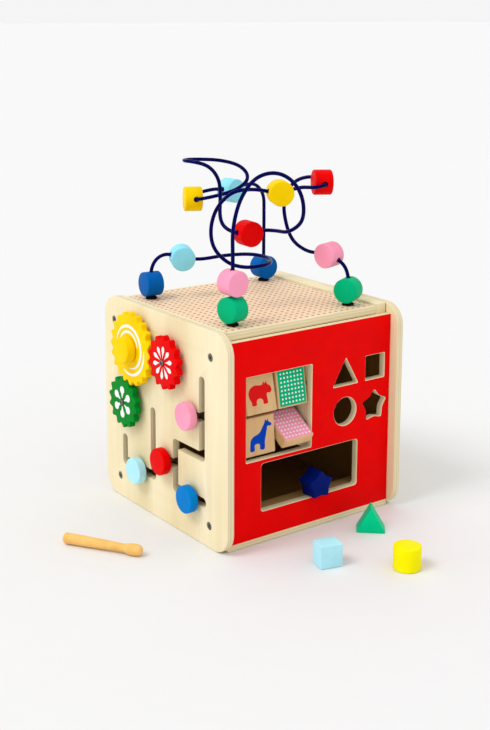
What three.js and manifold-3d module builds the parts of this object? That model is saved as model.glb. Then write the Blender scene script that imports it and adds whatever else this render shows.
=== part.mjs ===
// Wooden activity cube with a shape sorter: front panel with shape holes and turning tiles, side panel with
// gears and slot sliders, lift-off lid with a bead maze, four sorting blocks and a beater.
// Millimetres, +Z up. The origin is on the floor under the middle of the cube; the red front faces -Y.

import * as THREE from "three";
import Module from "manifold-3d";
import { mergeVertices } from "three/addons/utils/BufferGeometryUtils.js";

const wasm = await Module();
wasm.setup();

// ---------------------------------------------------------------- driving sizes
const CUBE_WIDTH = 254; // over the two side panels
const CUBE_DEPTH = 258; // length of a side panel, front to back
const CUBE_HEIGHT = 250;
const GAP = 0.3; // between two pieces that touch
const FIT = 0.5; // round a loose lid or shaft

const SIDE_THICKNESS = 9;
const SIDE_CORNER = 25; // radius of a side panel's corners
const SIDE_ROUNDOVER = 2.5;

const FRONT_THICKNESS = 9;
const FRONT_RECESS = 12; // behind the side panels' front edges
const LID_THICKNESS = 9.5;
const LID_DROP = 2.5; // lid top below the side panels' top
const LID_GAP_LEFT = 5.2; // lid edge to the left side panel
const LID_GAP_RIGHT = 15.2;
const BASE_THICKNESS = 7;

const SLOT_WIDTH = 11;
const KNOB_RADIUS = 15.8;
const KNOB_LENGTH = 10.5;
const KNOB_STANDOFF = 3.5;
const PEG_RADIUS = 4.2;
const KEEPER_RADIUS = 9.5; // disc that holds a slider behind the panel
const KEEPER_THICKNESS = 3.5;
const KEEPER_STANDOFF = 1;

const GEAR_DISTANCE = 71.5; // between axles of two meshed gears
const BIG_TEETH = 20;
const SMALL_TEETH = 14;
const GEAR_THICKNESS = 8;
const GEAR_STANDOFF = 4.5; // back of a gear off the panel
const TOOTH_RISE = 1.9;
const TOOTH_SINK = 2.9;
const AXLE_RADIUS = 2;
const SCREW_HEAD_RADIUS = 3.8;
const GEAR_KNOB_RADIUS = 15.6;
const GEAR_KNOB_LENGTH = 12;

const TILE_WIDTH = 41.5;
const TILE_HEIGHT = 44;
const TILE_THICKNESS = 13;
const TILE_SIDE_GAP = 3;
const TILE_PITCH = 48; // between the two rods
const ROD_RADIUS = 3;
const ROD_DEPTH = 13.5; // rod axis behind the red face
const CHEEK_THICKNESS = 8;

const BLOCK_THICKNESS = 22;
const SQUARE_SIDE = 26;
const ROUND_DIAMETER = 30.5;
const TRIANGLE_SIDE = 34;
const STAR_RADIUS = 18;
const HOLE_CLEARANCE = 1.6; // round each block in its hole

const WIRE_RADIUS = 2.2;
const BEAD_RADIUS = 14.7;
const BEAD_LENGTH = 21;
const BEAD_BORE = 3.6;
const CAP_RADIUS = 7;
const CAP_HEIGHT = 3;

const BEATER_LENGTH = 96;
const BAR_THICKNESS = 2.5;
const BAR_STANDOFF = 4; // xylophone bar off the back panel, on two posts

// ---------------------------------------------------------------- derived sizes
const sideOuter = CUBE_WIDTH / 2;
const sideInner = sideOuter - SIDE_THICKNESS;
const frontFace = CUBE_DEPTH / 2 - FRONT_RECESS;
const frontBack = frontFace - FRONT_THICKNESS;
const lidTop = CUBE_HEIGHT - LID_DROP;
const lidUnder = lidTop - LID_THICKNESS;
const innerWidth = 2 * (sideInner - GAP);

const object = new THREE.Group();

// ---------------------------------------------------------------- colours
const wood = [0xe9d6ae, 0.55];
const darkWood = [0x8a6a45, 0.7];
const red = [0xe01408, 0.4];
const yellow = [0xffc400, 0.45];
const gearGreen = [0x1e8c1e, 0.45];
const beadGreen = [0x00a86b, 0.45];
const paleBlue = [0x9fe3f2, 0.45];
const pink = [0xffa0c4, 0.45];
const blue = [0x0070d8, 0.4];
const deepBlue = [0x0a3f9c, 0.45];
const navy = [0x05054b, 0.3];
const black = [0x0a0a0c, 0.5];
const steel = [0xb8b8b4, 0.35, 0.9];

// ---------------------------------------------------------------- helpers
function solid(geometry) {
  const bare = geometry.index ? geometry.toNonIndexed() : geometry.clone();
  bare.deleteAttribute("normal");
  bare.deleteAttribute("uv");
  const merged = mergeVertices(bare, 1e-3);
  return new wasm.Manifold(
    new wasm.Mesh({
      numProp: 3,
      vertProperties: merged.attributes.position.array,
      triVerts: new Uint32Array(merged.index.array),
    }),
  );
}

function shell(body) {
  const mesh = body.getMesh();
  const geometry = new THREE.BufferGeometry();
  geometry.setAttribute("position", new THREE.BufferAttribute(mesh.vertProperties, 3));
  geometry.setIndex(new THREE.BufferAttribute(mesh.triVerts, 1));
  geometry.computeVertexNormals();
  return geometry;
}

function cut(geometry, ...tools) {
  return shell(tools.reduce((body, tool) => body.subtract(solid(tool)), solid(geometry)));
}

function join(geometry, ...others) {
  return shell(others.reduce((body, other) => body.add(solid(other)), solid(geometry)));
}

function place(parent, name, geometry, [color, roughness, metalness = 0], position = [0, 0, 0]) {
  const mesh = new THREE.Mesh(geometry, new THREE.MeshStandardMaterial({ color, roughness, metalness }));
  mesh.name = name;
  mesh.position.set(...position);
  parent.add(mesh);
  return mesh;
}

// A group whose local x, y, z are the given world directions.
function facing(x, y, z, origin) {
  const side = new THREE.Group();
  const basis = new THREE.Matrix4().makeBasis(new THREE.Vector3(...x), new THREE.Vector3(...y),
    new THREE.Vector3(...z));
  side.quaternion.setFromRotationMatrix(basis);
  side.position.set(...origin);
  object.add(side);
  return side;
}

function box(width, depth, height, centre) {
  return new THREE.BoxGeometry(width, depth, height).translate(...centre);
}

function extrude(shape, depth, from = 0, options = {}) {
  const settings = { depth, bevelEnabled: false, curveSegments: 6, ...options };
  return new THREE.ExtrudeGeometry(shape, settings).translate(0, 0, from);
}

function roundedRectangle(width, height, radius, cx = 0, cy = 0) {
  const shape = new THREE.Shape();
  const x = width / 2 - radius;
  const y = height / 2 - radius;
  shape.absarc(cx + x, cy - y, radius, -Math.PI / 2, 0);
  shape.absarc(cx + x, cy + y, radius, 0, Math.PI / 2);
  shape.absarc(cx - x, cy + y, radius, Math.PI / 2, Math.PI);
  shape.absarc(cx - x, cy - y, radius, Math.PI, 1.5 * Math.PI);
  shape.closePath();
  return shape;
}

function roundedPolygon(corners, radius) {
  const shape = new THREE.Shape();
  corners.forEach((corner, i) => {
    const before = corners[(i + corners.length - 1) % corners.length];
    const after = corners[(i + 1) % corners.length];
    const start = before.clone().sub(corner).setLength(radius).add(corner);
    const end = after.clone().sub(corner).setLength(radius).add(corner);
    if (i === 0) shape.moveTo(start.x, start.y);
    else shape.lineTo(start.x, start.y);
    shape.quadraticCurveTo(corner.x, corner.y, end.x, end.y);
  });
  shape.closePath();
  return shape;
}

function circleShape(radius, cx = 0, cy = 0) {
  return new THREE.Shape().absarc(cx, cy, radius, 0, 2 * Math.PI);
}

// Corners of a regular outline, first corner straight up; inner radii alternate on a star.
function ringOfCorners(count, outer, inner, cx = 0, cy = 0) {
  const steps = inner ? 2 * count : count;
  return Array.from({ length: steps }, (_, i) => {
    const angle = Math.PI / 2 + (2 * Math.PI * i) / steps;
    const radius = inner && i % 2 ? inner : outer;
    return new THREE.Vector2(cx + radius * Math.cos(angle), cy + radius * Math.sin(angle));
  });
}

// A turned solid about local z; the profile runs [radius, height] from the axis at the bottom to the top.
function turned(profile, segments = 24) {
  const points = profile.map(([radius, height]) => new THREE.Vector2(radius, height));
  return new THREE.LatheGeometry(points, segments).rotateX(Math.PI / 2);
}

function disc(radius, from, to, edge = 1, segments = 24) {
  return turned([[0, from], [radius - edge, from], [radius, from + edge], [radius, to - edge],
    [radius - edge, to], [0, to]], segments);
}

function rod(radius, from, to, segments = 16) {
  return turned([[0, from], [radius, from], [radius, to], [0, to]], segments);
}

function ring(outer, inner, from, to, segments = 24) {
  return turned([[inner, from], [outer, from], [outer, to], [inner, to], [inner, from]], segments);
}

// ---------------------------------------------------------------- casing
const leftSide = facing([0, -1, 0], [0, 0, 1], [-1, 0, 0], [-sideOuter, 0, 0]);
const rightSide = facing([0, 1, 0], [0, 0, 1], [1, 0, 0], [sideOuter, 0, 0]);
const frontSide = facing([1, 0, 0], [0, 0, 1], [0, -1, 0], [0, -frontFace, 0]);
const backSide = facing([-1, 0, 0], [0, 0, 1], [0, 1, 0], [0, frontFace, 0]);

function sidePlate() {
  const outline = roundedRectangle(CUBE_DEPTH, CUBE_HEIGHT, SIDE_CORNER, 0, CUBE_HEIGHT / 2);
  const flat = SIDE_THICKNESS - 2 * SIDE_ROUNDOVER;
  return extrude(outline, flat, SIDE_ROUNDOVER - SIDE_THICKNESS, {
    bevelEnabled: true,
    bevelThickness: SIDE_ROUNDOVER,
    bevelSize: SIDE_ROUNDOVER,
    bevelOffset: -SIDE_ROUNDOVER,
    bevelSegments: 2,
  });
}

// Slider slots: centre lines on the left panel, distance to the front and height.
const farStem = -84.5;
const middleStem = -21;
const nearStem = 26.5;
const frontStem = 80;
const lowRun = 49.5;
const redRun = 77.5;
const highRun = 102.5;
const pinkRun = 146.5;
const redRest = 8;
const pinkRest = 61.5;
const lowRunEnd = 82;
const slotRuns = [
  [[farStem, 77.5], [farStem, lowRun]],
  [[farStem, lowRun], [middleStem, lowRun]],
  [[middleStem, lowRun], [middleStem, 127.5]],
  [[frontStem, 189.5], [frontStem, highRun]],
  [[frontStem, highRun], [nearStem, highRun]],
  [[nearStem, highRun], [nearStem, lowRun]],
  [[nearStem, lowRun], [lowRunEnd, lowRun]],
  [[frontStem, pinkRun], [pinkRest, pinkRun]],
  [[nearStem, redRun], [redRest, redRun]],
];

function slot([[x0, y0], [x1, y1]], width) {
  const length = Math.hypot(x1 - x0, y1 - y0) + width;
  const outline = roundedRectangle(length, width, width / 2);
  return extrude(outline, SIDE_THICKNESS + 2, -SIDE_THICKNESS - 1, { curveSegments: 5 })
    .rotateZ(Math.atan2(y1 - y0, x1 - x0))
    .translate((x0 + x1) / 2, (y0 + y1) / 2, 0);
}

// Gear axles on the left panel.
const bigAxle = [-51.5, 198.5];
const redAxle = [bigAxle[0] + GEAR_DISTANCE, bigAxle[1]];
const greenTurn = THREE.MathUtils.degToRad(255.5); // direction of the green axle from the big one
const greenAxle = [bigAxle[0] + GEAR_DISTANCE * Math.cos(greenTurn),
  bigAxle[1] + GEAR_DISTANCE * Math.sin(greenTurn)];
const axleSink = SIDE_THICKNESS - 2; // how deep an axle is screwed into the panel

const axleHoles = [bigAxle, redAxle, greenAxle].map(([x, y]) =>
  rod(AXLE_RADIUS + GAP, -axleSink - GAP, 1, 12).translate(x, y, 0));
const slotTools = slotRuns.map((run) => slot(run, SLOT_WIDTH));
place(leftSide, "left_panel", cut(sidePlate(), ...slotTools, ...axleHoles), wood);
place(rightSide, "right_panel", sidePlate(), wood);

// Front panel with its windows and shape holes.
const panelBottom = BASE_THICKNESS + GAP;
const panelTop = lidUnder;
const tileWindow = { width: 2 * TILE_WIDTH + 3 * TILE_SIDE_GAP, height: TILE_PITCH + TILE_HEIGHT + 5.5,
  x: -47, y: 147.25 };
const catchWindow = { width: 141, height: 56, x: -1.5, y: 65.3 };
const triangleAt = [49.5, 173.5];
const squareAt = [94.75, 177.5];
const roundAt = [49.5, 131];
const starAt = [94.5, 130];

function blank(width, bottom, top) {
  return new THREE.Shape([
    new THREE.Vector2(-width / 2, bottom), new THREE.Vector2(width / 2, bottom),
    new THREE.Vector2(width / 2, top), new THREE.Vector2(-width / 2, top)]);
}

function triangleCorners(side, cx = 0, cy = 0) {
  return ringOfCorners(3, side / Math.sqrt(3), 0, cx, cy);
}

function starCorners(radius, cx = 0, cy = 0) {
  return ringOfCorners(5, radius, radius * 0.66, cx, cy);
}

function panelWithHoles() {
  const shape = blank(innerWidth, panelBottom, panelTop);
  const grow = HOLE_CLEARANCE;
  shape.holes.push(
    roundedRectangle(tileWindow.width, tileWindow.height, 1.5, tileWindow.x, tileWindow.y),
    roundedRectangle(catchWindow.width, catchWindow.height, 4, catchWindow.x, catchWindow.y),
    roundedPolygon(triangleCorners(TRIANGLE_SIDE + 2 * grow, ...triangleAt), 2.5),
    roundedRectangle(SQUARE_SIDE + 2 * grow, SQUARE_SIDE + 2 * grow, 1.5, ...squareAt),
    circleShape(ROUND_DIAMETER / 2 + grow, ...roundAt),
    roundedPolygon(starCorners(STAR_RADIUS + grow, ...starAt), 3),
  );
  return extrude(shape, FRONT_THICKNESS, -FRONT_THICKNESS, { curveSegments: 8 });
}
place(frontSide, "front_panel", panelWithHoles(), red);
place(backSide, "back_panel", extrude(blank(innerWidth, panelBottom, panelTop), FRONT_THICKNESS,
  -FRONT_THICKNESS), wood);
place(object, "base_panel", box(innerWidth, 2 * frontFace, BASE_THICKNESS, [0, 0, BASE_THICKNESS / 2]), wood);

// Ledge behind the catch window, level with its sill.
const ledgeDepth = 15.5;
const ledgeTop = catchWindow.y - catchWindow.height / 2 - GAP;
const ledgeHeight = 9;
place(object, "catch_ledge", box(innerWidth, ledgeDepth, ledgeHeight,
  [0, -frontBack + GAP + ledgeDepth / 2, ledgeTop - ledgeHeight / 2]), wood);

// Rails that the lid rests on, with a rebate.
const railDepth = 2 * (frontBack - GAP);
const railDrop = 9; // below the lid
const railLip = 7.5; // under the lid
function rail(direction, lidGap) {
  const outer = sideInner - GAP;
  const step = sideInner - lidGap + FIT;
  const inner = step - railLip;
  const under = lidUnder - GAP;
  const corners = [[outer, lidUnder - railDrop], [outer, CUBE_HEIGHT], [step, CUBE_HEIGHT],
    [step, under], [inner, under], [inner, lidUnder - railDrop]];
  const shape = new THREE.Shape(corners.map(([x, z]) => new THREE.Vector2(direction * x, z)));
  return extrude(shape, railDepth, -railDepth / 2).rotateX(Math.PI / 2);
}
place(object, "lid_rail_left", rail(-1, LID_GAP_LEFT), wood);
place(object, "lid_rail_right", rail(1, LID_GAP_RIGHT), wood);

// ---------------------------------------------------------------- lid
const lidLeft = -(sideInner - LID_GAP_LEFT);
const lidRight = sideInner - LID_GAP_RIGHT;
const lidDepth = 2 * (frontBack - FIT);
const lidMiddle = (lidLeft + lidRight) / 2;
const notchRadius = 18;
const notchReach = 4;
const footInset = 25; // wire foot to the lid's nearest edge
const feet = {
  front: [lidLeft + footInset, -lidDepth / 2 + footInset - 1],
  back: [lidRight - footInset + 3, lidDepth / 2 - footInset],
  left: [lidLeft + footInset - 3, lidDepth / 2 - footInset - 3],
  right: [lidRight - footInset + 2, -lidDepth / 2 + footInset - 1],
};

function lidBoard() {
  const plate = box(lidRight - lidLeft, lidDepth, LID_THICKNESS, [lidMiddle, 0, lidTop - LID_THICKNESS / 2]);
  const offset = notchRadius - notchReach;
  const notch = (x) => rod(notchRadius, lidUnder - 1, lidTop + 1, 32).translate(x, 0, 0);
  const wireHoles = Object.values(feet).map(([x, y]) =>
    rod(WIRE_RADIUS + GAP + 0.2, lidUnder - 1, lidTop + 1, 12).translate(x, y, 0));
  return cut(plate, notch(lidLeft - offset), notch(lidRight + offset), ...wireHoles);
}
place(object, "lid_board", lidBoard(), wood);

// ---------------------------------------------------------------- bead maze
// Each route is [x, y, height above the lid], its ends standing in two of the feet.
const wireSink = LID_THICKNESS - 1;
const capTop = CAP_HEIGHT;
const beadSeat = capTop + BEAD_RADIUS + 0.5;
function upright([x, y], height) {
  return [x, y, height];
}

const frontRoute = [
  upright(feet.front, -wireSink), upright(feet.front, beadSeat),
  upright(feet.front, beadSeat + 2 * BEAD_RADIUS + 0.4), upright(feet.front, 78), upright(feet.front, 104),
  [-84, -85, 127], [-77, -88, 146], [-65, -93, 162], [-50, -99, 168], [-34, -104, 165], [-20, -108, 153],
  [-10, -108, 134], [-6, -101, 110], [-12, -87, 98], [-8, -58, 94], [-11, -37, 92], [-31, -35, 90],
  [-50, -32, 93], [-55, -21, 98], [-52, -9, 107], [-42, 5, 127], [-42, 8, 148], [-50, 16, 163],
  [-62, 30, 168], [-65, 45, 168], [-52, 60, 167], [-32, 60, 166], [-9, 48, 164], [8, 32, 157],
  [10, 20, 145], [-4, 20, 134], [-24, 27, 127], [-41, 36, 123], [-47, 48, 120], [-42, 62, 119],
  [-34, 75, 121], [0, 74, 126],
  [25, 77, 122], [48, 81, 126], [66, 82, 126], [79, 82, 112],
  upright(feet.back, 92), upright(feet.back, 56), upright(feet.back, beadSeat), upright(feet.back, -wireSink),
];
const sideRoute = [
  upright(feet.left, -wireSink), upright(feet.left, beadSeat), upright(feet.left, 34),
  [-86, 77, 47], [-76, 71, 54], [-57, 63, 49], [-38, 55, 46], [-10, 39, 50], [12, 20, 52], [17, -3, 52],
  [8, -27, 51], [-12, -39, 51], [-36, -35, 51], [-53, -26, 57], [-65, -15, 74], [-67, -12, 96],
  [-60, -15, 120], [-44, -23, 137], [-22, -35, 140], [7, -45, 135], [27, -57, 141], [36, -73, 142],
  [49, -76, 144], [57, -60, 145], [64, -45, 147], [61, -31, 148], [49, -18, 141], [42, -9, 119],
  [43, -9, 97], [50, -15, 71], [66, -22, 57], [71, -58, 57], [77, -79, 47],
  upright(feet.right, 32), upright(feet.right, beadSeat), upright(feet.right, -wireSink),
];

function routeCurve(route) {
  const points = route.map(([x, y, height]) => new THREE.Vector3(x, y, lidTop + height));
  return new THREE.CatmullRomCurve3(points, false, "centripetal");
}

function tube(curve, radius, steps, sides = 8) {
  const section = new THREE.Shape(Array.from({ length: sides }, (_, i) => new THREE.Vector2(
    radius * Math.cos((2 * Math.PI * i) / sides), radius * Math.sin((2 * Math.PI * i) / sides))));
  return new THREE.ExtrudeGeometry(section, { steps, extrudePath: curve, bevelEnabled: false });
}

// A bead sits at a point of the route; its axis lies across the wire, its flat face towards an azimuth.
function bead(name, curve, pointCount, index, azimuth, colour) {
  const at = index / (pointCount - 1);
  const centre = curve.getPoint(at);
  const along = curve.getTangent(at);
  const turn = THREE.MathUtils.degToRad(azimuth);
  const axis = new THREE.Vector3(Math.cos(turn), Math.sin(turn), 0);
  axis.addScaledVector(along, -axis.dot(along)).normalize();
  const body = disc(BEAD_RADIUS, -BEAD_LENGTH / 2, BEAD_LENGTH / 2, 1.2, 20);
  body.applyQuaternion(new THREE.Quaternion().setFromUnitVectors(new THREE.Vector3(0, 0, 1), axis));
  const reach = BEAD_RADIUS + 5;
  const near = [];
  for (let i = 0; i <= 200; i++) {
    const point = curve.getPoint(THREE.MathUtils.clamp(at + ((i - 100) / 100) * (2.2 / pointCount), 0, 1));
    if (point.distanceTo(centre) <= reach) near.push(point.sub(centre));
  }
  const ends = [near[0], near[near.length - 1]];
  ends.forEach((end) => end.setLength(Math.max(end.length(), reach)));
  const picks = [0, 0.15, 0.32, 0.5, 0.68, 0.85, 1].map((part) => near[Math.round(part * (near.length - 1))]);
  const bore = tube(new THREE.CatmullRomCurve3(picks), BEAD_BORE, 8, 8);
  place(object, name, cut(body, bore), colour, centre.toArray());
}

function maze(name, route, beads) {
  const curve = routeCurve(route);
  curve.arcLengthDivisions = 600;
  place(object, name, tube(curve, WIRE_RADIUS, 108), navy);
  beads.forEach(([beadName, index, azimuth, colour]) =>
    bead(beadName, curve, route.length, index, azimuth, colour));
}

maze("wire_front_to_back", frontRoute, [
  ["bead_green_front", 1, 190, beadGreen],
  ["bead_pink_front", 2, 274, pink],
  ["bead_red_middle", 16, 281, red],
  ["bead_yellow_left", 34, 168, yellow],
  ["bead_blue_top", 37, 280, paleBlue],
  ["bead_navy_back", 43, 270, deepBlue],
]);
maze("wire_left_to_right", sideRoute, [
  ["bead_blue_left", 1, 174, deepBlue],
  ["bead_pale_left", 5, 224, paleBlue],
  ["bead_yellow_top", 19, 257, yellow],
  ["bead_red_right", 23, 163, red],
  ["bead_pink_right", 31, 181, pink],
  ["bead_green_right", 34, 207, beadGreen],
]);
Object.entries(feet).forEach(([name, [x, y]]) =>
  place(object, "foot_cap_" + name, ring(CAP_RADIUS, WIRE_RADIUS + FIT, GAP, CAP_HEIGHT, 16), black,
    [x, y, lidTop]));

// ---------------------------------------------------------------- gears
const bigPitch = (GEAR_DISTANCE * BIG_TEETH) / (BIG_TEETH + SMALL_TEETH);
const smallPitch = GEAR_DISTANCE - bigPitch;

// Wavy outline: teeth narrower than the gaps, so that two gears turn freely.
function gearShape(teeth, pitch, phase) {
  const steps = teeth * 6;
  const points = Array.from({ length: steps }, (_, i) => {
    const angle = (2 * Math.PI * i) / steps + phase;
    const wave = Math.cos(teeth * (angle - phase));
    const radius = wave > 0.25 ? pitch + TOOTH_RISE * wave : pitch + TOOTH_SINK * (wave - 0.25) / 1.25;
    return new THREE.Vector2(radius * Math.cos(angle), radius * Math.sin(angle));
  });
  const shape = new THREE.Shape(points);
  shape.holes.push(circleShape(AXLE_RADIUS + FIT));
  return shape;
}

function gear(teeth, pitch, phase) {
  const boss = ring(8, AXLE_RADIUS + FIT, GAP, GEAR_STANDOFF + 1, 20);
  return join(extrude(gearShape(teeth, pitch, phase), GEAR_THICKNESS, GEAR_STANDOFF), boss);
}

// Phase that puts a gap of the small gear where a tooth of the big one points.
function meshPhase(direction, bigPhase) {
  return direction + Math.PI - (Math.PI - BIG_TEETH * (direction - bigPhase)) / SMALL_TEETH;
}

const gearFace = GEAR_STANDOFF + GEAR_THICKNESS;
function axleScrew() {
  const head = gearFace + GAP;
  return turned([[0, -axleSink], [AXLE_RADIUS, -axleSink], [AXLE_RADIUS, head], [SCREW_HEAD_RADIUS, head],
    [SCREW_HEAD_RADIUS, head + 1.2], [SCREW_HEAD_RADIUS - 1.4, head + 2.2], [0, head + 2.2]], 16);
}

place(leftSide, "yellow_gear", gear(BIG_TEETH, bigPitch, 0), yellow, [...bigAxle, 0]);
place(leftSide, "red_gear", gear(SMALL_TEETH, smallPitch, meshPhase(0, 0)), red, [...redAxle, 0]);
place(leftSide, "green_gear", gear(SMALL_TEETH, smallPitch, meshPhase(greenTurn, 0)), gearGreen,
  [...greenAxle, 0]);
place(leftSide, "red_gear_screw", axleScrew(), steel, [...redAxle, 0]);
place(leftSide, "green_gear_screw", axleScrew(), steel, [...greenAxle, 0]);

// The big gear's turning knob covers its axle.
const knobBase = gearFace + GAP;
const knobTop = knobBase + GEAR_KNOB_LENGTH;
place(leftSide, "yellow_gear_knob", cut(disc(GEAR_KNOB_RADIUS, knobBase, knobTop, 1.5, 32),
  rod(SCREW_HEAD_RADIUS + FIT, knobBase - 1, knobBase + 4, 16)), yellow, [...bigAxle, 0]);
place(leftSide, "yellow_gear_axle", axleScrew(), steel, [...bigAxle, 0]);

// ---------------------------------------------------------------- slot sliders
const knobBack = KNOB_STANDOFF;
const knobFront = knobBack + KNOB_LENGTH;
const socketEnd = knobBack + KNOB_LENGTH * 0.7;
const keeperFace = -SIDE_THICKNESS - KEEPER_STANDOFF;

function sliderKnob() {
  return cut(disc(KNOB_RADIUS, knobBack, knobFront, 1.2),
    rod(PEG_RADIUS + GAP, knobBack - 1, socketEnd + GAP, 12));
}

function sliderPeg() {
  const keeperBack = keeperFace - KEEPER_THICKNESS;
  return turned([[0, keeperBack], [KEEPER_RADIUS, keeperBack], [KEEPER_RADIUS, keeperFace],
    [PEG_RADIUS, keeperFace], [PEG_RADIUS, socketEnd], [0, socketEnd]], 16);
}

const sliders = [
  ["pink", pinkRest, pinkRun, pink],
  ["red", redRest, redRun, red],
  ["pale", -46, lowRun, paleBlue],
  ["blue", 62.5, lowRun, blue],
];
sliders.forEach(([name, x, y, colour]) => {
  place(leftSide, "slider_knob_" + name, sliderKnob(), colour, [x, y, 0]);
  place(leftSide, "slider_peg_" + name, sliderPeg(), darkWood, [x, y, 0]);
});

// ---------------------------------------------------------------- turning tiles
const rodHeights = [tileWindow.y + TILE_PITCH / 2, tileWindow.y - TILE_PITCH / 2];
const tileOffset = (TILE_WIDTH + TILE_SIDE_GAP) / 2;
const cheekInner = tileWindow.width / 2 + 0.6;
const cheekDepth = 24;
const cheekHeight = TILE_PITCH + TILE_HEIGHT + 16;

// Cross-section of a tile, lying flat with the rod through its middle.
function tile() {
  const shape = roundedRectangle(TILE_THICKNESS, TILE_HEIGHT, 2);
  shape.holes.push(circleShape(ROD_RADIUS + FIT));
  return extrude(shape, TILE_WIDTH, -TILE_WIDTH / 2, { curveSegments: 4 }).rotateY(Math.PI / 2);
}

// Tilt leans the top edge back.
const tiles = [
  ["tile_hippo", -1, 0, 13, wood],
  ["tile_green_dots", 1, 0, 10, wood],
  ["tile_giraffe", -1, 1, 5, wood],
  ["tile_pink_dots", 1, 1, 58, wood],
];
tiles.forEach(([name, side, row, tilt, colour]) => {
  const mesh = place(frontSide, name, tile(), colour,
    [tileWindow.x + side * tileOffset, rodHeights[row], -ROD_DEPTH]);
  mesh.rotation.x = -THREE.MathUtils.degToRad(tilt);
});

const rodEnd = cheekInner + CHEEK_THICKNESS - 1;
["upper", "lower"].forEach((name, row) =>
  place(frontSide, "tile_rod_" + name, rod(ROD_RADIUS, -rodEnd, rodEnd, 12).rotateY(Math.PI / 2), steel,
    [tileWindow.x, rodHeights[row], -ROD_DEPTH]));

[["left", -1], ["right", 1]].forEach(([name, side]) => {
  const x = side * (cheekInner + CHEEK_THICKNESS / 2);
  const middle = -FRONT_THICKNESS - GAP - cheekDepth / 2;
  const board = box(CHEEK_THICKNESS, cheekHeight, cheekDepth, [x, 0, middle]);
  const sockets = rodHeights.map((height) => rod(ROD_RADIUS + GAP, -rodEnd - GAP, rodEnd + GAP, 12)
    .rotateY(Math.PI / 2).translate(0, height - tileWindow.y, -ROD_DEPTH));
  place(frontSide, "tile_cheek_" + name, cut(board, ...sockets), wood, [tileWindow.x, tileWindow.y, 0]);
});

// ---------------------------------------------------------------- loose pieces on the floor and in the window
function standing(name, geometry, colour, position, azimuth) {
  const mesh = place(object, name, geometry, colour, position);
  mesh.rotation.z = THREE.MathUtils.degToRad(azimuth);
  return mesh;
}

const half = BLOCK_THICKNESS / 2;
standing("block_square", extrude(roundedRectangle(SQUARE_SIDE, SQUARE_SIDE, 1), BLOCK_THICKNESS, -half)
  .rotateX(Math.PI / 2), paleBlue, [-47, -202.7, SQUARE_SIDE / 2], -15);
standing("block_triangle", extrude(roundedPolygon(triangleCorners(TRIANGLE_SIDE), 2), BLOCK_THICKNESS, -half)
  .rotateX(Math.PI / 2), beadGreen, [52.8, -161.3, TRIANGLE_SIDE / Math.sqrt(12)], -41);
standing("block_round", disc(ROUND_DIAMETER / 2, 0, BLOCK_THICKNESS + 4, 1, 32), yellow, [16.5, -260, 0], 0);

// The star rests with two points on the ledge and the sill, nose out of the window.
const starFoot = STAR_RADIUS * Math.cos(Math.PI / 5);
const starSeat = ledgeTop + GAP + 0.4;
const starNose = 8.5; // in front of the red face
place(frontSide, "block_star", extrude(roundedPolygon(starCorners(STAR_RADIUS), 2.6), BLOCK_THICKNESS,
  starNose - BLOCK_THICKNESS), deepBlue, [8.5, starSeat + starFoot, 0]);

// Beater: handle, neck and rounded head along local z, lying on the floor.
const headRadius = 6.6;
const beaterProfile = [[0, 0], [4.6, 0], [6, 1.6], [6.3, 4], [5.8, BEATER_LENGTH * 0.4], [4.8, BEATER_LENGTH * 0.72],
  [5, BEATER_LENGTH * 0.78], [headRadius, BEATER_LENGTH * 0.85], [headRadius, BEATER_LENGTH * 0.93],
  [5.2, BEATER_LENGTH * 0.98], [2.8, BEATER_LENGTH], [0, BEATER_LENGTH]];
const beater = standing("beater", turned(beaterProfile, 20).rotateY(Math.PI / 2), [0xe6b56a, 0.5],
  [-250.8, 12, headRadius], -57.6);

// ---------------------------------------------------------------- xylophone on the back panel
const barCount = 5;
const barWidth = 22;
const barPitch = 34;
const barColours = [red, yellow, gearGreen, blue, pink];
const barHeight = 128; // middle of every bar above the floor
for (let i = 0; i < barCount; i++) {
  const length = 150 - 14 * i;
  const x = (i - (barCount - 1) / 2) * barPitch;
  const plate = extrude(roundedRectangle(barWidth, length, 3, x, barHeight), BAR_THICKNESS, BAR_STANDOFF,
    { curveSegments: 3 });
  const posts = [-1, 1].map((end) =>
    rod(3, GAP, BAR_STANDOFF + 1, 10).translate(x, barHeight + end * length * 0.28, 0));
  place(backSide, "xylophone_bar_" + (i + 1), join(plate, ...posts), barColours[i]);
}

export default object;
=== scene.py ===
# %% [markdown]
# # A wooden activity cube, finished in Blender
#
# The cube has a red front with sorting holes and four turning tiles, a side panel with gears and
# slot sliders, and a lid that carries a maze of wire and beads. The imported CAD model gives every
# size and place. This lesson keeps that frame and makes the pieces look like turned, sawn and
# painted wood: softer edges, round beads, smooth wire, printed patterns and grain.

# %% Load the frame
import bpy
import bmesh
import math
import numpy as np
from mathutils import Matrix, Vector


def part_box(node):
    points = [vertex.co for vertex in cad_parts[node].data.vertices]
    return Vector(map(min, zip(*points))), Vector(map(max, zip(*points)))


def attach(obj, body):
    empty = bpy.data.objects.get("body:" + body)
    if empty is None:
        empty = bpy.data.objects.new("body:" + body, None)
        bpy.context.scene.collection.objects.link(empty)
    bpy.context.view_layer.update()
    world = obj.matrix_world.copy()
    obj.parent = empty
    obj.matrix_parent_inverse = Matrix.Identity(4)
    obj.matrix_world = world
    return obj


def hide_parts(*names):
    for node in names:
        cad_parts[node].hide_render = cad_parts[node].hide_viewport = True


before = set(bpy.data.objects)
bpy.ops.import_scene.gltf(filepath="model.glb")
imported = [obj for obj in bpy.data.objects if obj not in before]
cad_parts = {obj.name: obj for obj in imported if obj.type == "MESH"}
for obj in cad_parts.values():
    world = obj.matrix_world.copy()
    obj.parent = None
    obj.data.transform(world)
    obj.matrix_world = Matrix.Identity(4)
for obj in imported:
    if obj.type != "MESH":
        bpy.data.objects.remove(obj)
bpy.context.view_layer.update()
MM = 0.001
HAIR = 0.001 * MM
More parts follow.
